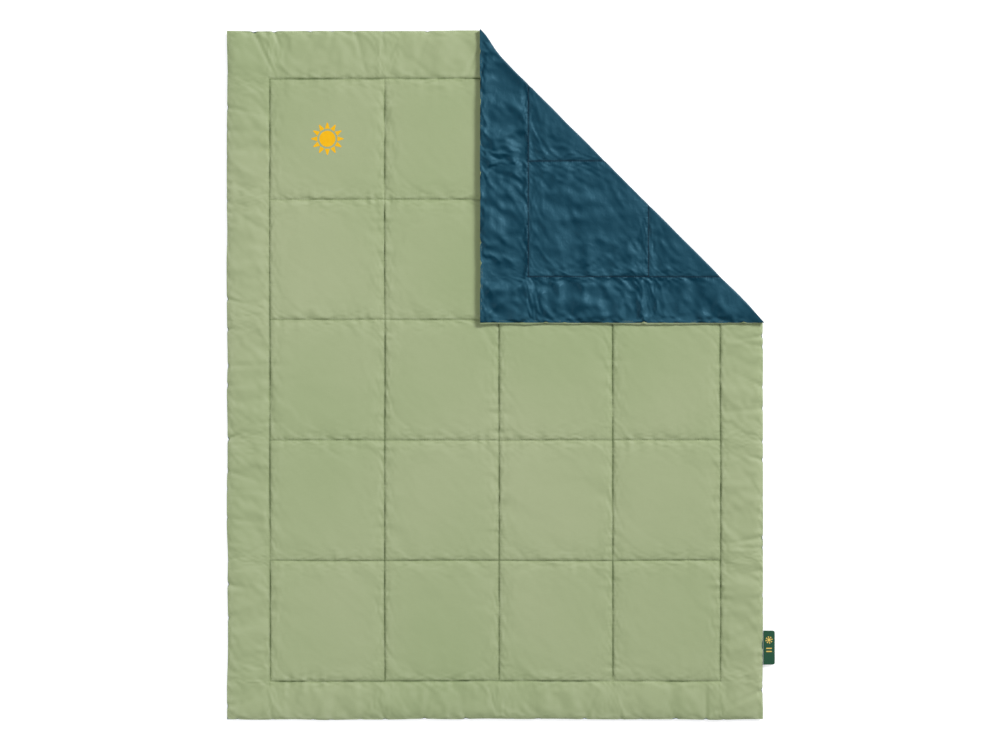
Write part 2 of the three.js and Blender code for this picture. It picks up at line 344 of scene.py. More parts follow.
def finer(field):
    """The field of the coarse grid on the finished grid, by a cubic through its points."""
    for axis in (0, 1):
        field = np.moveaxis(field, axis, 0)
        padded = np.concatenate([field[:1], field, field[-1:]])
        between = (9 * (padded[1:-2] + padded[2:-1]) - padded[:-3] - padded[3:]) / 16
        out = np.empty((2 * len(field) - 1, *field.shape[1:]))
        out[::2], out[1::2] = field, between
        field = np.moveaxis(out, 0, axis)
    return field


# ------------------------ the two skins

def puckers(seed, reach):
    """Short gathers that run square off a seam."""

    def gathers_over(x, y, seed):
        strength = 0.5 + 0.8 * value_noise(flat_x, flat_y, PUCKER_PATCH, seed + 2)
        return value_noise(x, y, PUCKER_PITCH, seed) * strength

    beside_column = np.where(flat.inside_y, np.exp(-flat.to_column / reach), 0)
    beside_row = np.where(flat.inside_x, np.exp(-flat.to_row / reach), 0)
    beside_side, beside_end = np.exp(-flat.edge_x / reach), np.exp(-flat.edge_y / reach)
    across = gathers_over(flat_x * PUCKER_STRETCH, flat_y, seed) * np.maximum(beside_column, beside_side)
    along = gathers_over(flat_x, flat_y * PUCKER_STRETCH, seed + 1) * np.maximum(beside_row, beside_end)
    off_seam = smooth(np.minimum(flat.to_edge, flat.to_seam) / (3 * MM))
    return off_seam * (across + along)


def ridges(x, y, scale, seed):
    """Long sharp folds: 1 on a ridge, down to 0 between two."""
    bend_x = 0.5 * scale * value_noise(x, y, 1.3 * scale, seed + 1)
    bend_y = 0.5 * scale * value_noise(x, y, 1.3 * scale, seed + 2)
    return 1 - np.abs(value_noise(x + bend_x, y + bend_y, scale, seed)) * 1.6


def crease(start, end, width):
    """A single straight crease, 1 along its line and fading out at its ends."""
    start, end = np.array(start), np.array(end)
    length = np.linalg.norm(end - start)
    along = ((flat_x - start[0]) * (end - start)[0] + (flat_y - start[1]) * (end - start)[1]) / length**2
    across = ((flat_x - start[0]) * (end - start)[1] - (flat_y - start[1]) * (end - start)[0]) / length
    return bell(across, width) * smooth(along / 0.15 + 0.5) * smooth((1 - along) / 0.3)


def limited(field, most):
    return most * np.tanh(field / most)


def skin(level, full_level, wrinkle, relief):
    """A skin's points, from its level along the seams, its level where it is full, and its relief."""
    along_seam = OUTLINE_LEVEL + (level - OUTLINE_LEVEL) * (1 - np.exp(-flat.to_edge / (6 * MM)))
    z = along_seam + (full_level - along_seam) * fullness(flat) + relief
    drift_x, drift_y = wander(flat_x, flat_y)
    return np.stack([flat_x + drift_x + wrinkle[..., 0], flat_y + drift_y + wrinkle[..., 1], z], -1)


def painted_light_lean(relief):
    """How steeply a relief rises along the diagonal. The cloths' colours are painted lighter and darker
    from it, as light and shade.
    """
    by_y, by_x = np.gradient(relief, line_y, line_x)
    return (by_x + by_y) / math.sqrt(2)


def front_lip():
    """On the corner the seam has rolled back along one edge, and the front cloth bulges past it."""
    inset = flat.edge_x / LIP_AT
    uneven = 0.85 + 0.3 * value_noise(flat_x, flat_y, 60 * MM, 55)
    on_corner = smooth(flat.to_fold / (60 * MM)) * (flat_x > COLUMNS[2])
    return LIP * inset * np.exp(1 - inset) * uneven * on_corner


def front_skin():
    """Smooth boxes that are gathered along their seams, and border strips with a few soft wrinkles.
    Also returns how steeply it leans along the diagonal, from which light and shade are painted into its
    colour."""
    near_seam = np.exp(-np.minimum(flat.to_seam, flat.to_edge) / (22 * MM))
    slack = simulate_slack("front_slack", FRONT_GROWTH, seed=11)
    share = np.where(flat.inside, 0.08 + 0.4 * near_seam, 0.45)
    wrinkle = slack * share[..., None]
    fold_end = FOLD_SUM - HEAD
    pull_start = (fold_end + 20 * MM, HEAD - 30 * MM)
    pull_end = (fold_end - 20 * MM, HEAD - 125 * MM)
    pulled = crease(pull_start, pull_end, 6 * MM)
    mitre = crease((LEFT, FOOT), (FRAME_LEFT, FRAME_FOOT), 5 * MM)
    relief = 2.6 * puckers(21, 15 * MM) - 3 * tucks(flat_x, flat_y)[2] - 3.2 * pulled - 1.2 * mitre
    relief = relief * MM + limited(wrinkle[..., 2], FRONT_RELIEF_LIMIT)
    points = skin(SEAM_FRONT, LOFT, wrinkle, relief)
    points[..., 0] += front_lip()
    return points, -painted_light_lean(relief)


def slack_line(lines, value):
    """The simulated sheet's line at or before a place."""
    return SLACK_STEP * (int(np.searchsorted(lines, value)) // SLACK_STEP)


def back_skin():
    """Flat on the ground but for its seams. On the corner it is slack and crumpled. Also returns how
    steeply it leans along the diagonal, from which light and shade are painted into its colour."""
    on_corner = smooth(flat.to_fold / (90 * MM))
    begins = (slack_line(line_y, FOLD_SUM - RIGHT), slack_line(line_x, FOLD_SUM - HEAD))
    slack = simulate_slack("back_slack", CORNER_GROWTH, 12, *begins)
    share = on_corner * np.where(flat.inside, 0.5, 0.95)
    wrinkle = slack * share[..., None]
    x, y = flat_x, flat_y
    folds = ((5.5, 70, 81), (3.4, 36, 85), (1.3, 20, 89))  # height and size in millimetres, and seed
    sharp = sum(height * ridges(x, y, size * MM, seed) for height, size, seed in folds)
    mean_sharp = 6.2
    worn = np.where(flat.inside, 0.45, 0.9) + 0.35 * value_noise(x, y, 140 * MM, 93)
    off_seam = smooth(np.minimum(flat.to_edge, flat.to_seam) / (14 * MM))
    mitre = crease((RIGHT, HEAD), (FRAME_RIGHT, FRAME_HEAD), 7 * MM)
    relief = (sharp - mean_sharp) * worn * on_corner * off_seam + 5 * mitre
    relief += (0.3 + 0.6 * on_corner) * puckers(41, 18 * MM)
    relief += 1.2 * on_corner * tucks(x, y)[2]
    crumple = limited(relief * MM + wrinkle[..., 2], CRUMPLE_LIMIT)
    room = front[..., 2] - skin(SEAM_BACK, GROUND, wrinkle, 0)[..., 2]
    crumple = np.maximum(crumple, -0.4 * np.maximum(room, 0))
    points = skin(SEAM_BACK, GROUND, wrinkle, -crumple)
    points[..., 2] = np.maximum(points[..., 2], GROUND - CRUMPLE_LIMIT * on_corner)
    return points, painted_light_lean(crumple)


front, front_painted_light = front_skin()
back, back_painted_light = back_skin()


# ------------------------ the corner, turned over

def head_pull(points):
    """How far the fold's end at the head edge has been drawn along the edge."""
    from_end = np.hypot(points[..., 0] - (FOLD_SUM - HEAD), points[..., 1] - HEAD)
    return HEAD_PULL * np.exp(-0.5 * (from_end / HEAD_PULL_REACH) ** 2)


def drawn(points):
    """The points once the fold's end has been drawn along."""
    moved = points.copy()
    moved[..., 0] += head_pull(points)
    return moved


def turned(points):
    """Points of the open corner once it is turned over, before its fold's end is drawn along."""
    beyond = (points[..., 0] + points[..., 1] - FOLD_SUM) / math.sqrt(2)
    near_left = np.exp(-np.maximum(HEAD - points[..., 1], 0) / FLAP_EDGE)
    near_foot = np.exp(-np.maximum(RIGHT - points[..., 0], 0) / FLAP_EDGE)
    laid = np.empty_like(points)
    laid[..., 0] = FLAP_LEFT + (HEAD - points[..., 1]) * FLAP_STRETCH[0]
    laid[..., 1] = FLAP_FOOT + (RIGHT - points[..., 0]) * FLAP_STRETCH[1]
    laid[..., 2] = 2 * corner_hinge.z - points[..., 2]
    laid[..., 2] += FLAP_LIFT * near_left * smooth((beyond - FLAP_CALM) / FLAP_FADE)
    laid[..., 2] -= FLAP_DROOP * near_foot * smooth(beyond / FLAP_FADE)
    place = laid.copy()
    for _ in range(4):
        place[..., 0] = laid[..., 0] - head_pull(place)
    return place


def unturned(points):
    """The flat blanket's x and y for points of the turned corner."""
    laid = drawn(points)
    x = RIGHT - (laid[..., 1] - FLAP_FOOT) / FLAP_STRETCH[1]
    y = HEAD - (laid[..., 0] - FLAP_LEFT) / FLAP_STRETCH[0]
    return np.stack([x, y], -1)


def change_points(mesh, change):
    points = np.zeros(len(mesh.vertices) * 3)
    mesh.vertices.foreach_get("co", points)
    mesh.vertices.foreach_set("co", change(points.reshape(-1, 3)).ravel())
    mesh.update()


def cut_at_fold(mesh, short=0.0):
    """Cuts off what is beyond the corner's fold, or a little before it. Returns the points along the
    cut, from the head edge to the right edge."""
    place = corner_hinge - short * FOLD_OUT
    work = bmesh.new()
    work.from_mesh(mesh)
    bmesh.ops.bisect_plane(
        work,
        geom=[*work.verts, *work.edges, *work.faces],
        dist=1e-7,
        plane_co=place,
        plane_no=FOLD_OUT,
        clear_outer=True,
    )
    work.to_mesh(mesh)
    on_cut = [v.co.copy() for v in work.verts if abs((v.co - place).dot(FOLD_OUT)) < ON_LINE]
    work.free()
    return np.array(sorted(on_cut, key=lambda point: point.dot(FOLD_ALONG)))


# ------------------------ pieces from the skins

def add_cloth_uv(mesh, places):
    """Gives each vertex its place on the cloth."""
    corners = np.zeros(len(mesh.loops), int)
    mesh.loops.foreach_get("vertex_index", corners)
    mesh.uv_layers.new(name="cloth").data.foreach_set("uv", places[corners].ravel())


def add_number(mesh, name, values):
    mesh.attributes.new(name, "FLOAT", "POINT").data.foreach_set("value", values.astype(np.float32))


def lay_on_cloth(mesh, x, y):
    """Gives a mesh its cloth's own coordinates, and its nearness to the seams."""
    place = Place(x.ravel(), y.ravel())
    add_cloth_uv(mesh, np.stack([place.x, place.y], -1))
    off_frame = np.where(place.inside, 0, place.to_frame)
    for attribute, distance, reach in (
        ("near_column", np.maximum(np.where(place.inside_y, place.to_column, 1), off_frame), 13 * MM),
        ("near_row", np.maximum(np.where(place.inside_x, place.to_row, 1), off_frame), 13 * MM),
        ("near_edge", place.to_edge, 13 * MM),
        ("in_row", place.to_row_line, 1.4 * MM),
        ("in_column_or_frame", place.to_long_line, 1.4 * MM),
    ):
        add_number(mesh, attribute, np.exp(-distance / reach))


def shade_smooth(mesh):
    mesh.polygons.foreach_set("use_smooth", np.ones(len(mesh.polygons), bool))


fold_row = int(np.argmin(np.abs(line_y - ROWS[0])))
foot_rows, main_rows = slice(0, fold_row + 1), slice(fold_row, None)


def follow(piece, body):
    """The corner's pieces ride on it. Those of the main part and of the foot stay where they lie."""
    if body == "corner":
        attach(piece, "corner")
        return
    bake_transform(piece)


def add_cloth(side, body, points, painted_light_slope, material, flip):
    """A shell's cloth on one body. Returns it, and its line along the corner's fold."""
    rows = foot_rows if body == "foot" else main_rows
    mesh = mesh_from_grid(f"{side}_cloth_{body}", points[rows], flip)
    lay_on_cloth(mesh, flat_x[rows], flat_y[rows])
    # The slope along the diagonal, kept for painting light and shade into the cloth's colour.
    add_number(mesh, "painted_light_lean", np.tanh(painted_light_slope[rows].ravel() / PAINTED_LIGHT_LIMIT))
    fold_line = None
    if body == "corner":
        change_points(mesh, turned)
    if body != "foot":
        fold_line = cut_at_fold(mesh)
        change_points(mesh, drawn)
    shade_smooth(mesh)
    mesh.materials.append(material)
    return new_object(f"{side}_cloth_{body}", mesh), fold_line


def add_fold_wrap(side, below, above, material, flip):
    """The cloth that goes round the corner's fold, from the main part up to the turned corner."""
    steps, stations = 16, 260

    def even(line):
        along = (line - np.array(corner_hinge)) @ np.array(FOLD_ALONG)
        share = (along - along[0]) / (along[-1] - along[0])
        even_share = np.linspace(0, 1, stations)
        return np.stack([np.interp(even_share, share, line[:, k]) for k in range(3)], -1)

    low, high = even(below), even(above)
    radius = (high[:, 2] - low[:, 2]) / 2
    share = np.linspace(0, 1, stations)
    ends = 0.35 + 0.65 * smooth(np.minimum(share, 1 - share) / 0.06)
    bulge = FOLD_BULGE * ends * (1 + 0.15 * value_noise(low[:, 0], low[:, 1], 0.05, 61))
    turn = np.linspace(0, math.pi, steps + 1)[:, None]
    rise = (1 - np.cos(turn)) / 2
    points = low[None] + (high - low)[None] * rise[..., None]
    points += (radius * bulge * np.sin(turn))[..., None] * np.array(FOLD_OUT)
    mesh = mesh_from_grid(f"{side}_fold_wrap", points, flip)
    cloth = low[None, :, :2] + (unturned(high) - low[:, :2])[None] * (turn / math.pi)[..., None]
    lay_on_cloth(mesh, cloth[..., 0], cloth[..., 1])
    change_points(mesh, drawn)
    shade_smooth(mesh)
    mesh.materials.append(material)
    piece = new_object(f"{side}_fold_wrap", mesh)
    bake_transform(piece)
    return piece


def add_shell(side, points, painted_light_slope, material, flip):
    """A shell's three cloths and what goes round the fold."""
    width, leg = RIGHT - LEFT, HEAD + RIGHT - FOLD_SUM
    main, below = add_cloth(side, "main", points, painted_light_slope, material, flip)
    corner, above = add_cloth(side, "corner", points, painted_light_slope, material, flip)
    foot, _ = add_cloth(side, "foot", points, painted_light_slope, material, flip)
    wrap = add_fold_wrap(side, below, above, material, flip)
    for body, piece, cut, area, extra in (
        ("main", main, (width, HEAD - ROWS[0]), width * (HEAD - ROWS[0]) - leg**2 / 2, [wrap]),
        ("corner", corner, (leg, leg), leg**2 / 2, []),
        ("foot", foot, (width, ROWS[0] - FOOT), width * (ROWS[0] - FOOT), []),
    ):
        follow(piece, body)
        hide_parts(f"{side}_shell_{body}")


# ------------------------ materials

class Wire:
    """A number in a material. An expression on wires adds the Math nodes that work it out."""

    def __init__(self, paint, socket):
        self.paint = paint
        self.socket = socket

    def math(self, operation, *others):
        return self.paint.add("Math", {"operation": operation}, self, *others)[0]

    def __add__(self, other):
        return self.math("ADD", other)

    def __mul__(self, other):
        return self.math("MULTIPLY", other)

    def __sub__(self, other):
        return self.math("SUBTRACT", other)

    def __rsub__(self, other):
        return self.paint.add("Math", {"operation": "SUBTRACT"}, other, self)[0]

    __radd__ = __add__
    __rmul__ = __mul__

    def sin(self):
        return self.math("SINE")

    def clamped(self):
        return self.math("MAXIMUM", 0).math("MINIMUM", 1)


class Paint:
    """A material under construction."""

    def __init__(self, name):
        self.material = bpy.data.materials.new(name)
        self.material.use_nodes = True
        self.tree = self.material.node_tree
        self.shader = self.tree.nodes["Principled BSDF"]

    def plug(self, socket, value):
        if isinstance(value, Wire):
            self.tree.links.new(value.socket, socket)
        elif value is not None:
            socket.default_value = value

    def add(self, kind, settings, *values, **named):
        """A node of that kind. Values go to its sockets in order, or by name. Returns its outputs."""
        node = self.tree.nodes.new(f"ShaderNode{kind}")
        for key, value in settings.items():
            setattr(node, key, value)
        sockets = [socket for socket in node.inputs if socket.enabled]
        for socket, value in zip(sockets, values):
            self.plug(socket, value)
        for key, value in named.items():
            self.plug(next(s for s in sockets if s.name == key.replace("_", " ")), value)
        return [Wire(self, socket) for socket in node.outputs if socket.enabled]

    def cloth_place(self, stretch=(1, 1, 1)):
        place = self.add("UVMap", {"uv_map": "cloth"})[0]
        return self.add("Mapping", {}, place, Scale=stretch)[0]

    def object_place(self, stretch=(1, 1, 1)):
        place = self.add("TexCoord", {})[3]
        return self.add("Mapping", {}, place, Scale=stretch)[0]

    def noise(self, place, scale, detail=2.0, roughness=0.5):
        return self.add("TexNoise", {}, Vector=place, Scale=scale, Detail=detail, Roughness=roughness)[0]

    def attribute(self, name):
        return self.add("Attribute", {"attribute_name": name})[2]

    def mixed(self, factor, first, second):
        return self.add("Mix", {"data_type": "RGBA"}, factor, first, second)[0]

    def finish(self, color, roughness, height=None, depth=1.0, **constants):
        self.plug(self.shader.inputs["Base Color"], color)
        self.plug(self.shader.inputs["Roughness"], roughness)
        for key, value in constants.items():
            self.shader.inputs[key.replace("_", " ")].default_value = value
        if height is not None:
            bump = self.add("Bump", {}, Strength=1.0, Distance=depth, Height=height)[0]
            self.plug(self.shader.inputs["Normal"], bump)
        return self.material


def rgb(red, green, blue):
    """A colour from its 0 to 255 screen values."""
    linear = lambda c: c / 12.92 if c <= 0.04045 else ((c + 0.055) / 1.055) ** 2.4
    return (*(linear(c / 255) for c in (red, green, blue)), 1.0)


def woven(paint, pitch):
    """Over and under of a plain weave, from 0 to 1, at that many metres between two threads."""
    u, v, _ = paint.add("SeparateXYZ", {}, paint.cloth_place())
    turn = math.pi / pitch
    return (u * turn).sin() * (v * turn).sin() * 0.5 + 0.5


def gathers(paint):
    """Fine creases square to a seam, which fade away from it."""
    beside_column = paint.noise(paint.cloth_place((0.22, 1, 1)), 95, 2.0) - 0.5
    beside_row = paint.noise(paint.cloth_place((1, 0.22, 1)), 95, 2.0) - 0.5
    edge = paint.noise(paint.cloth_place(), 70, 2.0) - 0.5
    return (
        beside_column * paint.attribute("near_column")
        + beside_row * paint.attribute("near_row")
        + edge * paint.attribute("near_edge")
    )


def ridged(value):
    """Sharp ridges from a soft noise."""
    return 1 - (value * 2 - 1).math("ABSOLUTE")


def front_cloth_material():
    paint = Paint("sage_plain_weave")
    broad = paint.noise(paint.cloth_place(), 1.6, 2.0)
    slub = paint.noise(paint.cloth_place((1, 9, 1)), 55, 3.0)
    # Painted light and shade: where the cloth faces the upper right it is painted lighter, where it faces
    # away darker.
    painted_light_slope = paint.attribute("painted_light_lean")
    color = paint.mixed((broad * 2.4 - 0.7).clamped(), rgb(157, 172, 128), rgb(170, 180, 141))
    color = paint.mixed(painted_light_slope.math("MAXIMUM", 0) * 0.5, color, rgb(190, 200, 166))
    color = paint.mixed(painted_light_slope.math("MINIMUM", 0) * -0.5, color, rgb(122, 138, 92))
    color = paint.mixed(slub * 0.2, color, rgb(146, 160, 116))
    uneven = paint.noise(paint.cloth_place(), 12, 3.0, 0.6)
    shaded = (paint.attribute("in_column_or_frame") + paint.attribute("in_row") * 0.3).clamped()
    color = paint.mixed(shaded * (uneven * 5.0 - 1.8).clamped(), color, rgb(76, 92, 50))
    cockle = paint.noise(paint.cloth_place(), 26, 3.0)
    height = woven(paint, 0.9 * MM) * 0.06 + gathers(paint) * 2.6 + cockle * 0.7 + slub * 0.08
    matt = {"Sheen_Weight": 0.15, "Specular_IOR_Level": 0.3}
    return paint.finish(color, 0.86 + slub * 0.06, height, depth=1 * MM, **matt)


def back_cloth_material():
    paint = Paint("navy_calendered_weave")
    broad = paint.noise(paint.cloth_place(), 14.0, 3.0)
    # Painted light and shade: crumples that face the upper right are painted lighter, those that face
    # away darker; a broad random tone is mixed in.
    painted_light_and_tone = (paint.attribute("painted_light_lean") * 0.62 + 0.22 + broad * 0.6).clamped()
    color = paint.mixed(painted_light_and_tone, rgb(2, 48, 66), rgb(42, 84, 102))
    uneven = paint.noise(paint.cloth_place(), 30, 3.0, 0.6)
    shaded = (paint.attribute("in_column_or_frame") + paint.attribute("in_row")).clamped()
    color = paint.mixed(shaded * (uneven * 2.4 - 0.2).clamped(), color, rgb(6, 26, 42))
    crumple = ridged(paint.noise(paint.cloth_place(), 22, 3.0, 0.5))
    fine = paint.noise(paint.cloth_place((1, 1.4, 1)), 90, 3.0)
    height = crumple * 2.6 + gathers(paint) * 3.0 + fine * 0.4 + woven(paint, 0.7 * MM) * 0.04
    shine = {"Specular_IOR_Level": 0.35, "Specular_Tint": (0.3, 0.62, 0.8, 1)}
    return paint.finish(color, 0.38 + fine * 0.14, height, depth=1 * MM, **shine)


def thread_material(name, color, light):
    paint = Paint(name)
    ply = paint.noise(paint.object_place(), 900.0).clamped()
    return paint.finish(paint.mixed(ply, color, light), 0.6 + ply * 0.1, ply, depth=0.1 * MM)


def batting_material():
    paint = Paint("white_fleece")
    fibre = paint.noise(paint.object_place(), 240, 5.0, 0.7)
    color = paint.mixed(fibre, rgb(222, 222, 216), rgb(244, 244, 240))
    return paint.finish(color, 0.95, fibre, depth=1 * MM)


def label_material():
    """Dark green ribbon with a plain woven sun and two bars."""
    paint = Paint("woven_ribbon")
    u, v, _ = paint.add("SeparateXYZ", {}, paint.cloth_place())
    length, reach, rib_pitch = 89, 31, 0.5  # all in millimetres, from the middle of the ribbon
    sun_y, sun_radius, ray_start, ray_end = 20, 4.2, 5.6, 9.4
    bar_half_length, bar_half_width = 7.5, 1.4
    x, y = (u - 0.5) * reach, (v - 0.5) * length
    from_sun = (x * x + (y - sun_y) * (y - sun_y)).math("SQRT")
    turn = (y - sun_y).math("ARCTAN2", x)
    disc = from_sun.math("LESS_THAN", sun_radius)
    ring = from_sun.math("GREATER_THAN", ray_start) * from_sun.math("LESS_THAN", ray_end)
    rays = ring * (turn * 8).sin().math("GREATER_THAN", 0.1)
    within_bar = x.math("ABSOLUTE").math("LESS_THAN", bar_half_length)
    upper, lower = ((y - bar_y).math("ABSOLUTE").math("LESS_THAN", bar_half_width) for bar_y in (-2, -10))
    motif = (disc + rays + within_bar * (upper + lower)).clamped()
    rib = (v * (math.pi * length / rib_pitch)).sin() * 0.5 + 0.5
    yarn = paint.noise(paint.object_place(), 1400, 2.0)
    ground = paint.mixed(yarn, rgb(4, 66, 42), rgb(14, 84, 56))
    figure = paint.mixed(yarn, rgb(226, 190, 84), rgb(240, 208, 108))
    height = rib * 0.5 + motif * 0.6 + yarn * 0.3
    return paint.finish(paint.mixed(motif, ground, figure), 0.62 + rib * 0.1, height, depth=0.15 * MM)


def sun_material():
    paint = Paint("yellow_heat_print")
    mottle = paint.noise(paint.object_place(), 90, 4.0, 0.6)
    grain = paint.noise(paint.object_place(), 900, 2.0)
    color = paint.mixed(mottle, rgb(238, 176, 6), rgb(250, 194, 20))
    height = grain + mottle
    return paint.finish(color, 0.5 + mottle * 0.12, height, depth=0.15 * MM, Specular_IOR_Level=0.2)


# ------------------------ batting

def closed_slab(name, top, bottom):
    """A solid between two faces over the same grid, both with their points in rows."""
    rows, columns = top.shape[:2]
    index = np.arange(rows * columns).reshape(rows, columns)
    below = index + rows * columns
    faces = [grid_quads(index), grid_quads(below)[:, ::-1]]
    for upper, lower in (
        (index[0], below[0]),
        (index[::-1, 0], below[::-1, 0]),
        (index[-1, ::-1], below[-1, ::-1]),
        (index[:, -1], below[:, -1]),
    ):
        faces.append(np.stack([lower[:-1], lower[1:], upper[1:], upper[:-1]], -1))
    mesh = bpy.data.meshes.new(name)
    points = np.concatenate([top.reshape(-1, 3), bottom.reshape(-1, 3)])
    mesh.from_pydata(points.tolist(), [], np.concatenate(faces).tolist())
    return mesh


def cap_cut(mesh):
    """Closes the face that the fold's cut left open."""
    work = bmesh.new()
    work.from_mesh(mesh)
    rim = [edge for edge in work.edges if edge.is_boundary]
    bmesh.ops.holes_fill(work, edges=rim)
    work.to_mesh(mesh)
    work.free()


def greatest_near(field, cells):
    """The greatest value within that many cells, along both ways of the grid."""
    for axis in (0, 1):
        padded = np.pad(field, [(cells, cells) if k == axis else (0, 0) for k in (0, 1)], mode="edge")
        size = field.shape[axis]
        field = np.max([np.take(padded, range(k, k + size), axis) for k in range(2 * cells + 1)], axis=0)
    return field


def add_batting(material):
    """The fleece fills what the skins leave, a little short of them and of the outline."""
    top, bottom = front.copy(), back.copy()
    top[..., 2] = -greatest_near(-front[..., 2], BATTING_STRIDE)
    bottom[..., 2] = greatest_near(back[..., 2], BATTING_STRIDE)
    room = top[..., 2] - bottom[..., 2]
    under = np.where(room > 0.5 * MM, np.minimum(room * 0.3, BATTING_GAP), (room - 0.2 * MM) / 2)
    top[..., 2] -= under
    bottom[..., 2] += under
    margin = 2 * BATTING_STRIDE
    across = slice(margin, -margin, BATTING_STRIDE)
    upper_rows = slice(fold_row, len(line_y) - margin, BATTING_STRIDE)
    lower_rows = slice(margin, fold_row + 1, BATTING_STRIDE)
    for body, rows in (("main", upper_rows), ("foot", lower_rows), ("corner", upper_rows)):
        picked = (rows, across)
        mesh = closed_slab(f"batting_{body}", top[picked], bottom[picked])
        if body == "corner":
            change_points(mesh, turned)
        if body != "foot":
            cut_at_fold(mesh, short=BATTING_SHORT)
        if body == "corner":
            change_points(mesh, drawn)
        cap_cut(mesh)
        shade_smooth(mesh)
        mesh.materials.append(material)
        piece = new_object(f"fleece_{body}", mesh)
        follow(piece, body)
        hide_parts(f"batting_{body}")


# ------------------------ stitching, by Geometry Nodes

def stitch_tree(material):
    """Turns a line into a row of stitches. Its inputs set their pitch, length, thickness and scatter."""
    tree = bpy.data.node_groups.new(f"row_of_stitches_{material.name}", "GeometryNodeTree")
    tree.interface.new_socket("Geometry", in_out="INPUT", socket_type="NodeSocketGeometry")
    tree.interface.new_socket("Geometry", in_out="OUTPUT", socket_type="NodeSocketGeometry")
    for name, value in STITCH.items():
        socket = tree.interface.new_socket(name, in_out="INPUT", socket_type="NodeSocketFloat")
        socket.default_value = value
    seed = tree.interface.new_socket("Seed", in_out="INPUT", socket_type="NodeSocketInt")
    seed.default_value = 7

    def add(kind, settings=None, **inputs):
        node = tree.nodes.new(kind)
        for key, value in (settings or {}).items():
            setattr(node, key, value)
        for key, value in inputs.items():
            socket = next(s for s in node.inputs if s.enabled and s.name == key.replace("_", " "))
            if isinstance(value, bpy.types.NodeSocket):
                tree.links.new(value, socket)
            else:
                socket.default_value = value
        return node

    given = tree.nodes.new("NodeGroupInput").outputs
    by_length = {"mode": "LENGTH"}
    row = add("GeometryNodeResampleCurve", by_length, Curve=given["Geometry"], Length=given["Pitch"])
    tangent = add("GeometryNodeInputTangent")
    facing = add("FunctionNodeAlignRotationToVector", {"axis": "X"}, Vector=tangent.outputs["Tangent"])
    bead = add("GeometryNodeMeshUVSphere", Segments=6, Rings=4, Radius=0.5)
    size = add("ShaderNodeCombineXYZ", X=given["Length"], Y=given["Thickness"], Z=given["Thickness"])
    scatter = add(
        "FunctionNodeRandomValue",
        {"data_type": "FLOAT_VECTOR"},
        Min=(-1, -1, -0.3),
        Max=(1, 1, 0.3),
        Seed=given["Seed"],
    )
    scaled = {"operation": "SCALE"}
    shift = add("ShaderNodeVectorMath", scaled, Vector=scatter.outputs[0], Scale=given["Scatter"])
    placed = add("GeometryNodeSetPosition", Geometry=row.outputs[0], Offset=shift.outputs[0])
    copies = add(
        "GeometryNodeInstanceOnPoints",
        Points=placed.outputs[0],
        Instance=bead.outputs["Mesh"],
        Rotation=facing.outputs[0],
        Scale=size.outputs[0],
    )
    real = add("GeometryNodeRealizeInstances", Geometry=copies.outputs[0])
    done = add("GeometryNodeSetMaterial", Geometry=real.outputs[0], Material=material)
    out = tree.nodes.new("NodeGroupOutput")
    tree.links.new(done.outputs[0], out.inputs["Geometry"])
    return tree


def sewn_line(start, end, level):
    """A straight run of stitches, drifting as the cloth does."""
    start, end = np.array(start), np.array(end)
    count = max(2, int(np.linalg.norm(end - start) / GUIDE_STEP))
    points = start + (end - start) * np.linspace(0, 1, count)[:, None]
    drift_x, drift_y = wander(points[:, 0], points[:, 1])
    return np.column_stack([points[:, 0] + drift_x, points[:, 1] + drift_y, np.full(count, level)])


def quilting_runs(level):
    """Every straight run of the quilting, open and flat."""
    frame_runs = closed_runs(FRAME_LEFT, FRAME_RIGHT, FRAME_FOOT, FRAME_HEAD, level)
    column_runs = [sewn_line((x, FRAME_FOOT), (x, FRAME_HEAD), level) for x in COLUMNS]
    row_runs = [sewn_line((FRAME_LEFT, y), (FRAME_RIGHT, y), level) for y in ROWS]
    return frame_runs + column_runs + row_runs


def closed_runs(left, right, foot, head, level):
    corners = [(left, foot), (right, foot), (right, head), (left, head)]
    return [sewn_line(a, b, level) for a, b in zip(corners, corners[1:] + corners[:1])]


def part_of_run(run, body):
    """The stretch of a run that lies on a body, where it has come to lie."""
    if body == "corner":
        run = turned(run)
    own = run[:, 0] + run[:, 1] < FOLD_SUM - STITCH_CLEAR_CORNER
    if body == "foot":
        return run[own & (run[:, 1] < ROWS[0] - STITCH_CLEAR_FOOT)]
    if body == "main":
        own &= run[:, 1] > ROWS[0] - STITCH_CLEAR_FOOT
    return drawn(run[own])


def add_stitches(name, runs, body, tree, nodes):
    line = bpy.data.curves.new(name, "CURVE")
    line.dimensions = "3D"
    for run in runs:
        stretch = part_of_run(run, body)
        if len(stretch) < 2:
            continue
        spline = line.splines.new("POLY")
        spline.points.add(len(stretch) - 1)
        spline.points.foreach_set("co", np.column_stack([stretch, np.ones(len(stretch))]).ravel())
    guide = new_object(f"{name}_guide", line)
    modifier = guide.modifiers.new("stitches", "NODES")
    modifier.node_group = tree
    mesh = bpy.data.meshes.new_from_object(guide.evaluated_get(bpy.context.evaluated_depsgraph_get()))
    mesh.name = name
    bpy.data.objects.remove(guide)
    shade_smooth(mesh)
    piece = new_object(name, mesh)
    follow(piece, body)
    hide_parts(*nodes)


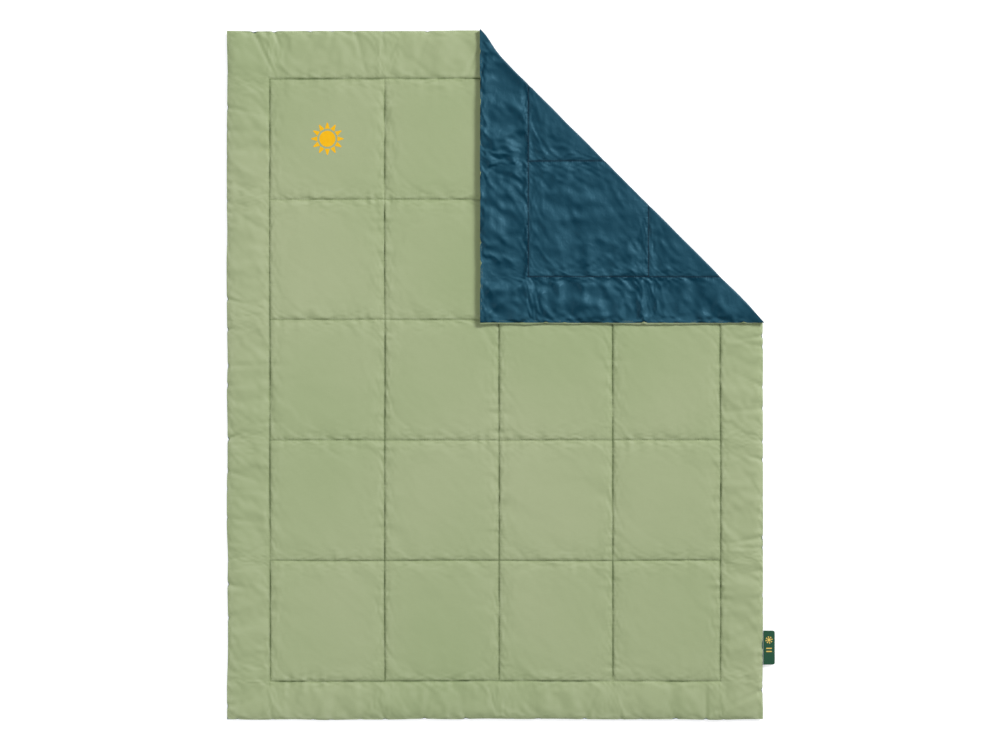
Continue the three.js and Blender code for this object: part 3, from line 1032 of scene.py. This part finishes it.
def add_all_stitches():
    quilt_nodes = [node for node in frame["nodes"] if "_stitch" in node]
    for side, level, tree in (
        ("front", SEAM_FRONT + STITCH_PROUD, stitch_tree(front_thread)),
        ("back", SEAM_BACK - STITCH_PROUD, stitch_tree(back_thread)),
    ):
        runs = quilting_runs(level)
        for body in ("main", "corner", "foot"):
            nodes = [node for node in quilt_nodes if node.startswith(side) and f"_{body}" in node]
            add_stitches(f"{side}_stitches_{body}", runs, body, tree, nodes)
    inset = EDGE_INSET + THREAD / 2
    line = closed_runs(LEFT + inset, RIGHT - inset, FOOT + inset, HEAD - inset, OUTLINE_LEVEL)
    seam_tree = stitch_tree(seam_thread)
    for body in ("main", "corner", "foot"):
        nodes = [node for node in frame["nodes"] if node.startswith(f"edge_seam_{body}")]
        add_stitches(f"closing_stitches_{body}", line, body, seam_tree, nodes)


# ------------------------ the printed sun and the side label

def height_on(points, x, y):
    """The height of a skin's points at a place on the flat blanket."""
    i = np.clip(np.searchsorted(line_x, x) - 1, 0, len(line_x) - 2)
    j = np.clip(np.searchsorted(line_y, y) - 1, 0, len(line_y) - 2)
    s = (x - line_x[i]) / (line_x[i + 1] - line_x[i])
    t = (y - line_y[j]) / (line_y[j + 1] - line_y[j])
    z = points[..., 2]
    low = z[j, i] * (1 - s) + z[j, i + 1] * s
    high = z[j + 1, i] * (1 - s) + z[j + 1, i + 1] * s
    return low * (1 - t) + high * t


def add_sun(material):
    """A disc with a ring of tapered rays."""
    middle_x, middle_y, _ = middle("sun_print")
    radius = (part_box("sun_print")[1].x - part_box("sun_print")[0].x) / 2
    disc, ray_foot, ray_half_width = 0.5 * radius, 0.62 * radius, 0.155 * radius
    ray_taper = 0.78
    work = bmesh.new()

    def lay(x, y):
        x, y = middle_x + x, middle_y + y
        return work.verts.new((x, y, float(height_on(front, x, y)) + PRINT_PROUD))

    def patch(shape, steps_u, steps_v):
        """A patch of print with a top and a rim that goes down into the cloth."""
        across = [u / steps_u for u in range(steps_u + 1)]
        top = [[lay(*shape(u, v / steps_v)) for u in across] for v in range(steps_v + 1)]
        for low, high in zip(top, top[1:]):
            for k in range(steps_u):
                work.faces.new((low[k], low[k + 1], high[k + 1], high[k]))
        rim = top[0] + [row[-1] for row in top[1:]] + top[-1][-2::-1] + [row[0] for row in top[-2:0:-1]]
        sunk = [work.verts.new(vertex.co - Vector((0, 0, 2 * PRINT_PROUD))) for vertex in rim]
        for k in range(len(rim)):
            n = (k + 1) % len(rim)
            work.faces.new((rim[n], rim[k], sunk[k], sunk[n]))

    def square_to_disc(u, v):
        a, b = 2 * u - 1, 2 * v - 1
        return disc * a * math.sqrt(1 - b * b / 2), disc * b * math.sqrt(1 - a * a / 2)

    patch(square_to_disc, 16, 16)
    for k in range(SUN_RAYS):
        ray = Matrix.Rotation(2 * math.pi * k / SUN_RAYS, 2)

        def shape(u, v, ray=ray):
            half = (1 - ray_taper * v) * ray_half_width
            return tuple(ray @ Vector(((2 * u - 1) * half, ray_foot + v * (radius - ray_foot))))

        patch(shape, 3, 8)
    mesh = bpy.data.meshes.new("sun")
    bmesh.ops.remove_doubles(work, verts=work.verts, dist=1e-6)
    work.to_mesh(mesh)
    work.free()
    mesh.materials.append(material)
    piece = new_object("sun", mesh)
    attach(piece, "main")
    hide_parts("sun_print")


def add_label(material):
    """A ribbon folded in half: out on the lower ply, round the fold and back on the upper one."""
    low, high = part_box("label_loop")
    reach, length = high.x - low.x, high.y - low.y
    bend = (high.z - low.z - LABEL_THICKNESS) / 2
    straight = reach - bend - LABEL_THICKNESS / 2
    steps = 8
    section = [(straight * k / steps, -bend) for k in range(steps)]
    for angle in np.linspace(-math.pi / 2, math.pi / 2, steps + 1):
        section.append((straight + bend * math.cos(angle), bend * math.sin(angle)))
    section += [(straight * (1 - k / steps), bend) for k in range(1, steps + 1)]
    rows = 40
    points, places = [], []
    for j in range(rows + 1):
        v = j / rows
        from_end = min(v, 1 - v) * length
        rounding = LABEL_ROUND - math.sqrt(max(LABEL_ROUND**2 - max(LABEL_ROUND - from_end, 0) ** 2, 0))
        wave = LABEL_WAVE * math.sin(5.1 * v + 0.6)
        for x, z in section:
            out = x / reach
            points.append(
                (low.x + x - rounding * out**3, low.y + length * v, (low.z + high.z) / 2 + z + wave * out)
            )
            places.append((out, v))
    mesh = mesh_from_grid("label", np.array(points).reshape(rows + 1, len(section), 3), flip=True)
    add_cloth_uv(mesh, np.array(places))
    shade_smooth(mesh)
    mesh.materials.append(material)
    piece = new_object("label", mesh)
    ply = piece.modifiers.new("ply", "SOLIDIFY")
    ply.thickness = LABEL_THICKNESS
    ply.offset = 0
    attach(piece, "label")
    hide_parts("label_loop")
    tail = frame["nodes"]["label_tail"].data
    tail.materials.clear()
    tail.materials.append(material)


# ------------------------ main

sage = front_cloth_material()
navy = back_cloth_material()
front_thread = thread_material("olive_thread", rgb(104, 120, 76), rgb(134, 149, 104))
back_thread = thread_material("dark_navy_thread", rgb(12, 36, 50), rgb(30, 58, 74))
seam_thread = thread_material("grey_green_thread", rgb(118, 130, 98), rgb(146, 156, 124))

add_batting(batting_material())
add_shell("front", front, front_painted_light, sage, flip=False)
add_shell("back", back, back_painted_light, navy, flip=True)
add_all_stitches()
add_sun(sun_material())
add_label(label_material())

# ------------------------ camera, floor and light

VIEW_WIDTH = 2.616  # of the floor, from edge to edge of the view
CAMERA_ASIDE = 12.7 * MM
FLOOR_LEVEL = -3 * MM
blanket_middle = Vector(((LEFT + RIGHT) / 2, (FOOT + HEAD) / 2, 0))


def add_camera():
    camera = bpy.data.objects.new("camera", bpy.data.cameras.new("camera"))
    camera.data.lens = 100
    distance = VIEW_WIDTH * camera.data.lens / camera.data.sensor_width
    camera.location = blanket_middle + Vector((CAMERA_ASIDE, 0, distance))
    camera.data.clip_end = 50
    bpy.context.collection.objects.link(camera)
    bpy.context.scene.camera = camera


def add_floor():
    mesh = bpy.data.meshes.new("floor")
    corners = [(x, y, FLOOR_LEVEL) for x, y in ((-12, -12), (12, -12), (12, 12), (-12, 12))]
    mesh.from_pydata(corners, [], [(0, 1, 2, 3)])
    floor = new_object("floor", mesh)
    paint = Paint("pale_floor")
    white = {"Emission_Color": (1, 1, 1, 1), "Emission_Strength": 0.55}
    mesh.materials.append(paint.finish(rgb(240, 240, 240), 0.9, **white))


def add_light(name, place, size, power):
    light = bpy.data.lights.new(name, "AREA")
    light.size = size
    light.energy = power
    lamp = bpy.data.objects.new(name, light)
    lamp.location = place
    lamp.rotation_euler = (blanket_middle - Vector(place)).to_track_quat("-Z", "Y").to_euler()
    bpy.context.collection.objects.link(lamp)


def add_studio():
    add_light("key", (5.8, 5.2, 6.6), 3.0, 820)
    add_light("fill", (-3.5, -1.0, 3.5), 3.0, 80)
    world = bpy.data.worlds.new("studio")
    world.use_nodes = True
    background = world.node_tree.nodes["Background"]
    background.inputs["Color"].default_value = (1, 1, 1, 1)
    background.inputs["Strength"].default_value = 0.3
    bpy.context.scene.world = world
    bpy.context.scene.view_settings.view_transform = "Standard"


add_camera()
add_floor()
add_studio()
